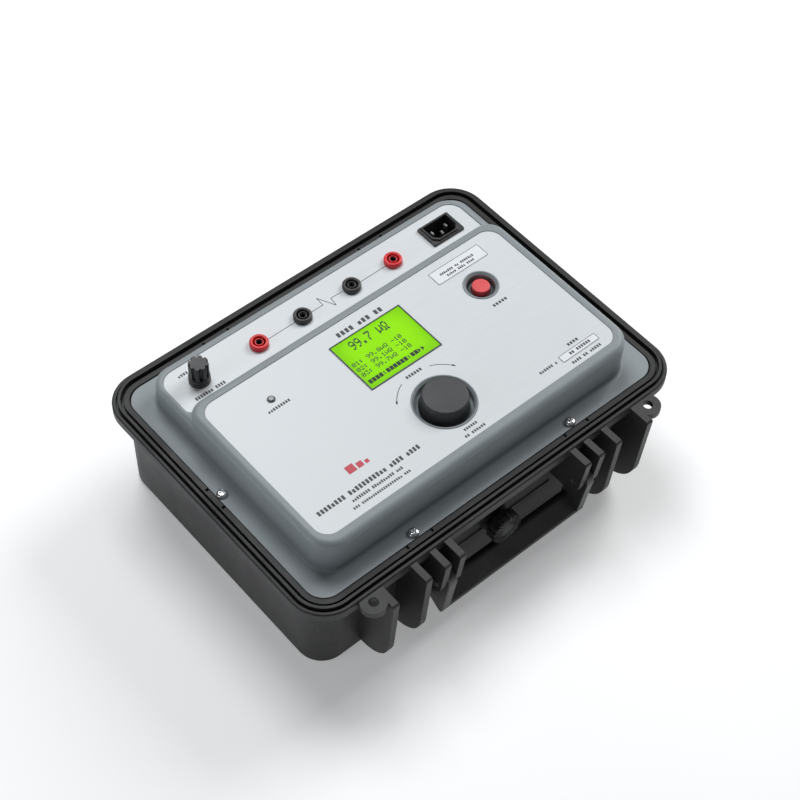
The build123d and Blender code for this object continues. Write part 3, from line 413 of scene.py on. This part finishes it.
nodeFinish = {
    "caseBlack": ("case_base",),
    "handleBlack": ("carry_handle",),
    "panelGrey": ("panel_frame",),
    "labelFilm": ("main_label", "strip_label"),
    "plateFilm": ("rating_plate", "serial_plate"),
    "jackRed": ("jack_red_left", "jack_red_right"),
    "jackBlack": ("jack_black_left", "jack_black_right"),
    "inletBlack": ("mains_inlet",),
    "fuseBlack": ("fuse_holder", "fuse_cap", "fuse_carrier"),
    "bezelBlack": ("display_bezel", "power_collar", "lamp_holder"),
    "buttonRed": ("power_button",),
    "lampLens": ("discharge_lamp",),
    "purgeBlack": ("purge_knob", "purge_body"),
    "knobBlack": ("select_knob",),
    "litScreen": ("display_glass", "display_backlight"),
    "screwPlate": ("panel_screws", "board_screws", "strap_screws"),
    "pinPlate": ("inlet_pins", "battery_tabs", "jack_nuts", "board_standoffs"),
    "groundSteel": ("handle_pins", "encoder_shaft", "encoder_plunger", "power_spring", "battery_strap",
                    "transformer_core"),
    "turnedBrass": ("panel_inserts", "encoder_nut"),
    # the jack contacts carry painted shade of their holes
    "dullContact": ("jack_contacts",),
    "sheetMetal": ("supply_tray", "heat_sink"),
    "windingWire": ("transformer_winding",),
    "canSleeve": ("discharge_capacitors",),
    "foamSeal": ("panel_gasket", "purge_seal"),
    "boardGreen": ("main_board", "display_board", "supply_board"),
    "cellWrap": ("battery_pack",),
    "fuseTube": ("battery_fuse",),
    "innerPlastic": ("purge_nut", "display_standoffs", "encoder_body", "power_switch_body", "fuse_nut",
                     "board_chips", "supply_spacers", "discharge_relays"),
}
for finishName, nodeNames in nodeFinish.items():
    for nodeName in nodeNames:
        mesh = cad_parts[nodeName].data
        mesh.materials.clear()
        mesh.materials.append(finishes[finishName])


print("stage 3: node trees for the repeated shapes")


def newTree(name, inputs):
    tree = bpy.data.node_groups.new(name, "GeometryNodeTree")
    tree.interface.new_socket("Geometry", in_out="INPUT", socket_type="NodeSocketGeometry")
    for label, kind in inputs.items():
        tree.interface.new_socket(label, in_out="INPUT", socket_type="NodeSocket" + kind)
    tree.interface.new_socket("Geometry", in_out="OUTPUT", socket_type="NodeSocketGeometry")
    return tree, tree.nodes.new("NodeGroupInput"), tree.nodes.new("NodeGroupOutput")


def geoNode(tree, kind, **settings):
    made = tree.nodes.new(kind)
    for key, value in settings.items():
        setattr(made, key, value)
    return made


def finishTree(tree, source, start, end):
    real = geoNode(tree, "GeometryNodeRealizeInstances")
    paint = geoNode(tree, "GeometryNodeSetMaterial")
    tree.links.new(source, real.inputs[0])
    tree.links.new(real.outputs[0], paint.inputs["Geometry"])
    tree.links.new(start.outputs["Finish"], paint.inputs["Material"])
    tree.links.new(paint.outputs[0], end.inputs[0])
    return tree


def inkLineTree():
    # flat ribbon along every edge run of the mesh
    tree, start, end = newTree("inkLine", {"Width": "Float", "Height": "Float", "Finish": "Material"})
    run = geoNode(tree, "GeometryNodeMeshToCurve")
    upright = geoNode(tree, "GeometryNodeSetCurveNormal", mode="Z_UP")
    section = geoNode(tree, "GeometryNodeCurvePrimitiveQuadrilateral")
    ribbon = geoNode(tree, "GeometryNodeCurveToMesh")
    ribbon.inputs["Fill Caps"].default_value = True
    tree.links.new(start.outputs["Geometry"], run.inputs["Mesh"])
    tree.links.new(run.outputs[0], upright.inputs["Curve"])
    tree.links.new(upright.outputs[0], ribbon.inputs["Curve"])
    tree.links.new(start.outputs["Width"], section.inputs["Width"])
    tree.links.new(start.outputs["Height"], section.inputs["Height"])
    tree.links.new(section.outputs[0], ribbon.inputs["Profile Curve"])
    return finishTree(tree, ribbon.outputs[0], start, end)


def cellTree():
    # a small flat block on every point, sized by the point's own "cell" vector
    tree, start, end = newTree("cellBlocks", {"Thickness": "Float", "Finish": "Material"})
    block = geoNode(tree, "GeometryNodeMeshCube")
    size = geoNode(tree, "ShaderNodeCombineXYZ")
    size.inputs[0].default_value = 1.0
    size.inputs[1].default_value = 1.0
    spread = geoNode(tree, "GeometryNodeInstanceOnPoints")
    cell = geoNode(tree, "GeometryNodeInputNamedAttribute", data_type="FLOAT_VECTOR")
    cell.inputs["Name"].default_value = "cell"
    tree.links.new(start.outputs["Thickness"], size.inputs[2])
    tree.links.new(size.outputs[0], block.inputs["Size"])
    tree.links.new(start.outputs["Geometry"], spread.inputs["Points"])
    tree.links.new(block.outputs[0], spread.inputs["Instance"])
    tree.links.new(cell.outputs["Attribute"], spread.inputs["Scale"])
    return finishTree(tree, spread.outputs[0], start, end)


def ringTree():
    # copies of a shape round an axis through the origin
    tree, start, end = newTree("ringOf", {"Count": "Int", "Radius": "Float", "Shape": "Object",
                                          "Finish": "Material"})
    circle = geoNode(tree, "GeometryNodeMeshCircle")
    around = geoNode(tree, "GeometryNodeInstanceOnPoints")
    shape = geoNode(tree, "GeometryNodeObjectInfo")
    place = geoNode(tree, "GeometryNodeInputPosition")
    aim = geoNode(tree, "FunctionNodeAlignRotationToVector", axis="X")
    tree.links.new(start.outputs["Count"], circle.inputs["Vertices"])
    tree.links.new(start.outputs["Radius"], circle.inputs["Radius"])
    tree.links.new(circle.outputs[0], around.inputs["Points"])
    tree.links.new(start.outputs["Shape"], shape.inputs["Object"])
    tree.links.new(shape.outputs["Geometry"], around.inputs["Instance"])
    tree.links.new(place.outputs[0], aim.inputs["Vector"])
    tree.links.new(aim.outputs[0], around.inputs["Rotation"])
    return finishTree(tree, around.outputs[0], start, end)


def spreadTree():
    # a shape on every point, turned about Z by the point's own "turn" value
    tree, start, end = newTree("spreadOf", {"Shape": "Object", "Finish": "Material"})
    spread = geoNode(tree, "GeometryNodeInstanceOnPoints")
    shape = geoNode(tree, "GeometryNodeObjectInfo")
    turn = geoNode(tree, "GeometryNodeInputNamedAttribute", data_type="FLOAT")
    turn.inputs["Name"].default_value = "turn"
    angles = geoNode(tree, "ShaderNodeCombineXYZ")
    spin = geoNode(tree, "FunctionNodeEulerToRotation")
    tree.links.new(start.outputs["Geometry"], spread.inputs["Points"])
    tree.links.new(start.outputs["Shape"], shape.inputs["Object"])
    tree.links.new(shape.outputs["Geometry"], spread.inputs["Instance"])
    tree.links.new(turn.outputs["Attribute"], angles.inputs[2])
    tree.links.new(angles.outputs[0], spin.inputs[0])
    tree.links.new(spin.outputs[0], spread.inputs["Rotation"])
    return finishTree(tree, spread.outputs[0], start, end)


trees = {"inkLine": inkLineTree(), "cells": cellTree(), "ring": ringTree(), "spread": spreadTree()}


def meshObject(name, points, edges=(), faces=()):
    data = bpy.data.meshes.new(name)
    data.from_pydata([tuple(p) for p in points], list(edges), list(faces))
    made = bpy.data.objects.new(name, data)
    bpy.context.scene.collection.objects.link(made)
    return made


def growWith(seed, tree, values):
    # runs the tree on the seed object and keeps the result as a plain mesh
    modifier = seed.modifiers.new("grow", "NODES")
    modifier.node_group = tree
    for item in tree.interface.items_tree:
        if item.item_type == "SOCKET" and item.in_out == "INPUT" and item.name in values:
            modifier[item.identifier] = values[item.name]
    bpy.context.view_layer.update()
    grown = seed.evaluated_get(bpy.context.evaluated_depsgraph_get())
    plain = bpy.data.meshes.new_from_object(grown)
    seed.modifiers.remove(modifier)
    seed.data = plain
    plain.name = seed.name
    return seed


def outwards(piece):
    work = bmesh.new()
    work.from_mesh(piece.data)
    bmesh.ops.recalc_face_normals(work, faces=work.faces)
    work.to_mesh(piece.data)
    work.free()


def settle(piece, body):
    outwards(piece)
    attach(piece, body)
    return piece


def inkRuns(name, runs, z, width, finish, height=0.06 * mm):
    # each run is (points in millimetres, closed or not)
    points, edges = [], []
    for run, closed in runs:
        first = len(points)
        points += [(x * mm, y * mm, z) for x, y in run]
        edges += [(i, i + 1) for i in range(first, len(points) - 1)]
        if closed:
            edges.append((len(points) - 1, first))
    seed = meshObject(name, points, edges)
    growWith(seed, trees["inkLine"], {"Width": width * mm, "Height": height, "Finish": finishes[finish]})
    return settle(seed, "case")


def inkCells(name, cells, z, finish, thickness=0.06 * mm):
    # each cell is (x, y, width, height) in millimetres
    seed = meshObject(name, [(x * mm, y * mm, z) for x, y, w, h in cells])
    sizes = seed.data.attributes.new("cell", "FLOAT_VECTOR", "POINT")
    sizes.data.foreach_set("vector", [n for x, y, w, h in cells for n in (w * mm, h * mm, 1.0)])
    growWith(seed, trees["cells"], {"Thickness": thickness, "Finish": finishes[finish]})
    return settle(seed, "case")


def arc(cx, cy, r, fromDegrees, toDegrees, steps):
    angles = [math.radians(fromDegrees + (toDegrees - fromDegrees) * i / steps) for i in range(steps + 1)]
    return [(cx + r * math.cos(a), cy + r * math.sin(a)) for a in angles]


def roundedLoop(x0, x1, y0, y1, frontR, rearR, steps=10):
    loop = arc(x0 + frontR, y0 + frontR, frontR, 180, 270, steps)
    loop += arc(x1 - frontR, y0 + frontR, frontR, 270, 360, steps)
    loop += arc(x1 - rearR, y1 - rearR, rearR, 0, 90, steps)
    loop += arc(x0 + rearR, y1 - rearR, rearR, 90, 180, steps)
    return loop


print("stage 4: printed marks")

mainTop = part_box("main_label")[1].z
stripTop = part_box("strip_label")[1].z
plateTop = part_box("rating_plate")[1].z
lift = 0.03 * mm

jackMiddles = {}
for jackName in ("jack_red_left", "jack_black_left", "jack_black_right", "jack_red_right"):
    jackLow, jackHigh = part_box(jackName)
    jackMiddles[jackName] = ((jackLow.x + jackHigh.x) / 2 / mm, (jackLow.y + jackHigh.y) / 2 / mm)

leadLine = {"width": 0.50, "gap": 7.5,
            "zig": ((-15.9, 0.0), (-4.5, 0.0), (-3.9, 8.2), (3.5, -6.4), (4.6, 1.6), (16.2, 1.0))}
(leftX, rowY), (innerLeftX, _), (innerRightX, _), (rightX, _) = jackMiddles.values()
zigPoints = [(x, rowY + dy) for x, dy in leadLine["zig"]]
leadRuns = [([(leftX + leadLine["gap"], rowY), (innerLeftX - leadLine["gap"], rowY)], False),
            ([(innerRightX + leadLine["gap"], rowY), (rightX - leadLine["gap"], rowY)], False)]
# the zig-zag is drawn stroke by stroke, so its sharp corners keep the full width
leadRuns += [([a, b], False) for a, b in zip(zigPoints, zigPoints[1:])]
inkRuns("leadLine", leadRuns, stripTop + lift, leadLine["width"], "greyInk")

# two curved arrows over the select knob
knobX, knobY = (v / mm for v in knobSet["middle"])
arrowSet = {"radius": 34.5, "width": 0.50, "left": (113, 142), "right": (67, 38),
            "head": 2.6, "headStep": 0.28, "headTurn": 3, "steps": 14}


def arrowHead(angle, turn, s):
    # narrow solid tip at the end of an arc, as five touching strokes
    r = s["radius"]
    a = math.radians(angle)
    tip = Vector((knobX + r * math.cos(a), knobY + r * math.sin(a)))
    along = Vector((-math.sin(a), math.cos(a))) * turn
    side = Vector((along.y, -along.x))
    rows = []
    for k in range(-2, 3):
        base = tip - along * s["head"] + side * s["headStep"] * k
        rows.append(([tuple(base), tuple(tip)], False))
    return rows


arrowRuns = [(arc(knobX, knobY, arrowSet["radius"], *arrowSet[side], arrowSet["steps"]), False)
             for side in ("left", "right")]
arrowRuns += arrowHead(arrowSet["left"][1] + arrowSet["headTurn"], 1, arrowSet)
arrowRuns += arrowHead(arrowSet["right"][1] - arrowSet["headTurn"], -1, arrowSet)
inkRuns("turnArrows", arrowRuns, mainTop + lift, arrowSet["width"], "greyInk")


rowSet = {"block": 0.66, "short": 0.78, "shortEvery": 5}


def markRow(x0, y0, length, height, words, seedValue):
    # a row of plain blocks where a word would be: no letters
    cells = []
    x = x0
    state = seedValue
    total = sum(words) + len(words) - 1
    pitch = length / total
    for word in words:
        for _ in range(word):
            state = (state * 1103515245 + 12345) % 2147483648
            tall = height * (1.0 if state % rowSet["shortEvery"] else rowSet["short"])
            cells.append((x + pitch * 0.5, y0 + tall / 2, pitch * rowSet["block"], tall))
            x += pitch
        x += pitch
    return cells


def allRows(rows):
    return [cell for row in rows for cell in markRow(*row)]


# each row: left edge, lower edge, length, height, blocks in each word, seed
panelRows = (
    (-22.0, 38.4, 44.0, 4.3, (4, 3, 2), 7),             # heading over the display
    (-104.8, 15.6, 20.0, 2.4, (9,), 11),                # under the lamp
    (88.2, -12.2, 14.2, 2.4, (5,), 13),                 # under the power button
    (-7.8, -22.9, 15.2, 2.5, (6,), 17),                 # between the arrows
    (-6.4, -84.6, 12.6, 2.2, (6,), 19),                 # below the select knob
    (-9.8, -89.7, 19.4, 2.2, (2, 6), 23),
    (-133.0, -75.4, 93.2, 4.0, (8, 11, 4, 4), 29),      # three lines under the emblem
    (-107.0, -81.1, 46.0, 2.5, (8, 10, 3), 31),
    (-110.4, -86.4, 52.0, 2.0, (3, 19, 3), 37),
    (71.0, -81.6, 17.6, 2.3, (6, 1), 41),               # round the serial plate
    (105.4, -74.9, 11.0, 2.4, (4,), 43),
    (96.6, -89.6, 29.4, 2.4, (4, 2, 5), 47),
)
stripRows = (
    (-133.2, 64.7, 27.2, 3.0, (7, 4), 53),              # before the fuse
    (-131.0, 89.5, 9.0, 2.4, (4,), 59),                 # behind it
)
plateRows = (
    (77.6, 36.4, 34.0, 2.1, (7, 2, 7), 61),             # rating plate
    (81.6, 32.6, 27.4, 2.1, (5, 4, 4), 67),
    (101.0, -82.1, 21.0, 2.5, (2, 6), 71),              # serial plate
)
inkCells("panelMarks", allRows(panelRows), mainTop + lift, "greyInk")
inkCells("stripMarks", allRows(stripRows), stripTop + lift, "greyInk")

# plain emblem: three squares stepping down in size
emblem = {"x": -84.5, "y": -58.0, "sizes": (7.0, 5.0, 3.2), "gap": 1.6, "drop": 3.5}
emblemCells = []
emblemX = emblem["x"] - (sum(emblem["sizes"]) + 2 * emblem["gap"]) / 2
for size in emblem["sizes"]:
    emblemCells.append((emblemX + size / 2, emblem["y"] - emblem["drop"] + size / 2, size, size))
    emblemX += size + emblem["gap"]
inkCells("emblem", emblemCells, mainTop + lift, "redInk")

borderSet = {"width": 0.42, "corner": 0.5, "steps": 3, "inset": {"rating_plate": 0.45, "serial_plate": 0.4}}
plateLines = []
for plateName, inset in borderSet["inset"].items():
    low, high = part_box(plateName)
    loop = roundedLoop(low.x / mm + inset, high.x / mm - inset, low.y / mm + inset, high.y / mm - inset,
                       borderSet["corner"], borderSet["corner"], borderSet["steps"])
    plateLines.append((loop, True))
inkRuns("plateBorders", plateLines, plateTop + lift, borderSet["width"], "greyInk")
inkCells("plateMarks", allRows(plateRows), plateTop + lift, "greyInk")


print("stage 5: display characters")

# seven rows of five dots each, as the bits of a number
glyphs = {
    "0": (14, 17, 19, 21, 25, 17, 14), "1": (4, 12, 4, 4, 4, 4, 14), "2": (14, 17, 1, 2, 4, 8, 31),
    "3": (31, 2, 4, 2, 1, 17, 14), "7": (31, 1, 2, 4, 8, 8, 8), "8": (14, 17, 17, 14, 17, 17, 14),
    "9": (14, 17, 17, 15, 1, 2, 12), ".": (0, 0, 0, 0, 0, 12, 12), ":": (0, 12, 12, 0, 12, 12, 0),
    "u": (0, 17, 17, 17, 19, 29, 16), "o": (14, 17, 17, 17, 10, 10, 27), "-": (0, 0, 0, 31, 0, 0, 0),
    "#": (31, 31, 31, 31, 31, 31, 31), " ": (0, 0, 0, 0, 0, 0, 0), ">": (16, 24, 28, 30, 28, 24, 16),
}
# each line: text, left edge, baseline, cell width, cell height
screenLines = (
    ("99.7 uo", -20.4, 22.0, 0.86, 1.24),
    ("01: 99.8uo -10", -30.6, 9.6, 0.56, 0.54),
    ("02: 99.1uo -10", -30.6, 4.0, 0.56, 0.54),
    ("03: 99.7uo -10", -30.6, -1.6, 0.56, 0.54),
    ("####:######:##>>", -30.8, -9.6, 0.56, 0.54),
)
dotFill = 1.12
glyphColumns, glyphPitch = 5, 6
dots = []
for text, left, base, cellW, cellH in screenLines:
    for place, letter in enumerate(text):
        for row, bits in enumerate(glyphs[letter]):
            for column in range(glyphColumns):
                if bits >> (glyphColumns - 1 - column) & 1:
                    x = left + (place * glyphPitch + column + 0.5) * cellW
                    y = base + (6.5 - row) * cellH
                    dots.append((x, y, cellW * dotFill, cellH * dotFill))
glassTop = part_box("display_glass")[1].z
inkCells("screenCharacters", dots, glassTop + lift, "segmentInk", 0.04 * mm)


print("stage 6: screw heads and grip ribs")

screwSet = {"radius": 4.2 * mm, "dome": 1.75 * mm, "side": 0.95 * mm, "arm": 0.46 * mm, "armLength": 2.3 * mm,
            "recess": 1.5 * mm, "rings": 26, "spokes": 72, "height": 2.7 * mm,
            "firstTurn": 0.35, "nextTurn": 1.3, "apart": 0.01}


def panHead(s):
    # dome with a cross recess, as a height field on rings and spokes
    points, faces = [], []
    rings, spokes = s["rings"], s["spokes"]
    for i in range(rings + 1):
        r = s["radius"] * i / rings
        for j in range(spokes):
            a = 2 * math.pi * j / spokes
            x, y = r * math.cos(a), r * math.sin(a)
            h = s["side"] + s["dome"] * math.sqrt(max(0.0, 1 - (r / s["radius"]) ** 2.6))
            across = min(abs(x), abs(y))
            along = max(abs(x), abs(y))
            wallShare = min(1.0, max(0.0, (s["arm"] * 1.25 - across) / (s["arm"] * 0.45)))
            endShare = min(1.0, max(0.0, (s["armLength"] - along) / (s["armLength"] * 0.55)))
            h -= s["recess"] * wallShare * endShare
            points.append((x, y, h))
    for i in range(rings):
        for j in range(spokes):
            k = (j + 1) % spokes
            a, b = i * spokes + j, i * spokes + k
            faces.append((a, a + spokes, b + spokes, b))
    top = rings * spokes
    base = len(points)
    points += [(x, y, 0.0) for x, y, h in points[top:top + spokes]]
    for j in range(spokes):
        k = (j + 1) % spokes
        faces.append((top + j, base + j, base + k, top + k))
    faces.append(tuple(base + j for j in reversed(range(spokes))))
    head = meshObject("panHead", points, (), faces)
    work = bmesh.new()
    work.from_mesh(head.data)
    bmesh.ops.remove_doubles(work, verts=work.verts, dist=1e-6)
    bmesh.ops.recalc_face_normals(work, faces=work.faces)
    for face in work.faces:
        face.smooth = True
    work.to_mesh(head.data)
    work.free()
    return head


def splitPlaces(nodeName):
    # middles of the separate solids of one CAD node, from clusters of its points
    found = []
    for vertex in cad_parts[nodeName].data.vertices:
        for known in found:
            if (known[0] - vertex.co.x) ** 2 + (known[1] - vertex.co.y) ** 2 < screwSet["apart"] ** 2:
                known[2].append(vertex.co.copy())
                break
        else:
            found.append((vertex.co.x, vertex.co.y, [vertex.co.copy()]))
    middles = []
    for _, _, cluster in found:
        xs, ys = [p.x for p in cluster], [p.y for p in cluster]
        middles.append(((min(xs) + max(xs)) / 2, (min(ys) + max(ys)) / 2, max(p.z for p in cluster)))
    return middles


headShape = panHead(screwSet)
screwSpots = splitPlaces("panel_screws")
headBase = max(z for x, y, z in screwSpots) - screwSet["height"]
seed = meshObject("panelScrewHeads", [(x, y, headBase) for x, y, z in screwSpots])
turns = seed.data.attributes.new("turn", "FLOAT", "POINT")
turns.data.foreach_set("value", [screwSet["firstTurn"] + screwSet["nextTurn"] * i
                                for i in range(len(screwSpots))])
growWith(seed, trees["spread"], {"Shape": headShape, "Finish": finishes["screwPlate"]})
settle(seed, "case")
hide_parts("panel_screws")
bpy.data.objects.remove(headShape)

gripSet = {"count": 22, "radius": 8.6 * mm, "bar": (5.6 * mm, 1.1 * mm, 0.55 * mm), "lip": 0.25 * mm,
           "rimCount": 30, "rimRadius": 12.1 * mm, "knob": (1.5 * mm, 1.3 * mm, 0.6 * mm)}


def ridgeShape(name, size, lip):
    # low bar with sloping sides, standing on z = 0
    x, y, z = size[0] / 2, size[1] / 2, size[2]
    low = [(-x, -y, 0), (x, -y, 0), (x, y, 0), (-x, y, 0)]
    top = [(-x + lip, -y + lip, z), (x - lip, -y + lip, z), (x - lip, y - lip, z), (-x + lip, y - lip, z)]
    sides = [(i, (i + 1) % 4, 4 + (i + 1) % 4, 4 + i) for i in range(4)]
    return meshObject(name, low + top, (), [(3, 2, 1, 0), (4, 5, 6, 7)] + sides)


lowPurge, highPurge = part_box("purge_knob")
faceTurn = Matrix.Translation(((lowPurge.x + highPurge.x) / 2, lowPurge.y, (lowPurge.z + highPurge.z) / 2))
faceTurn = faceTurn @ Matrix.Rotation(math.radians(90), 4, "X")
gripRings = (("purgeSpokes", gripSet["count"], gripSet["radius"], gripSet["bar"]),
             ("purgeStuds", gripSet["rimCount"], gripSet["rimRadius"], gripSet["knob"]))
for pieceName, count, radius, size in gripRings:
    ridge = ridgeShape(pieceName + "Shape", size, gripSet["lip"])
    seed = meshObject(pieceName, [(0, 0, 0)])
    growWith(seed, trees["ring"], {"Count": count, "Radius": radius, "Shape": ridge,
                                   "Finish": finishes["purgeBlack"]})
    seed.data.transform(faceTurn)
    settle(seed, "purge_turner")
    bpy.data.objects.remove(ridge)

print("stage 7: floor")

floorSet = {"half": 40.0, "glow": 0.30, "pale": (0.90, 0.905, 0.91), "shade": (0.86, 0.865, 0.87)}


def paleFloor(s):
    h = s["half"]
    floor = meshObject("paleFloor", [(-h, -h, 0), (h, -h, 0), (h, h, 0), (-h, h, 0)], (), [(0, 1, 2, 3)])
    mat, tree, shader, coords = startMaterial("floorPaper")
    tone = remap(tree, noise(tree, coords, 3, 2), 0.3, 0.7, 0, 1)
    tree.links.new(blendColours(tree, tone, s["shade"], s["pale"]), shader.inputs["Base Color"])
    shader.inputs["Roughness"].default_value = 0.85
    shader.inputs["Emission Color"].default_value = (*s["pale"], 1)
    shader.inputs["Emission Strength"].default_value = s["glow"]
    floor.data.materials.append(mat)


paleFloor(floorSet)
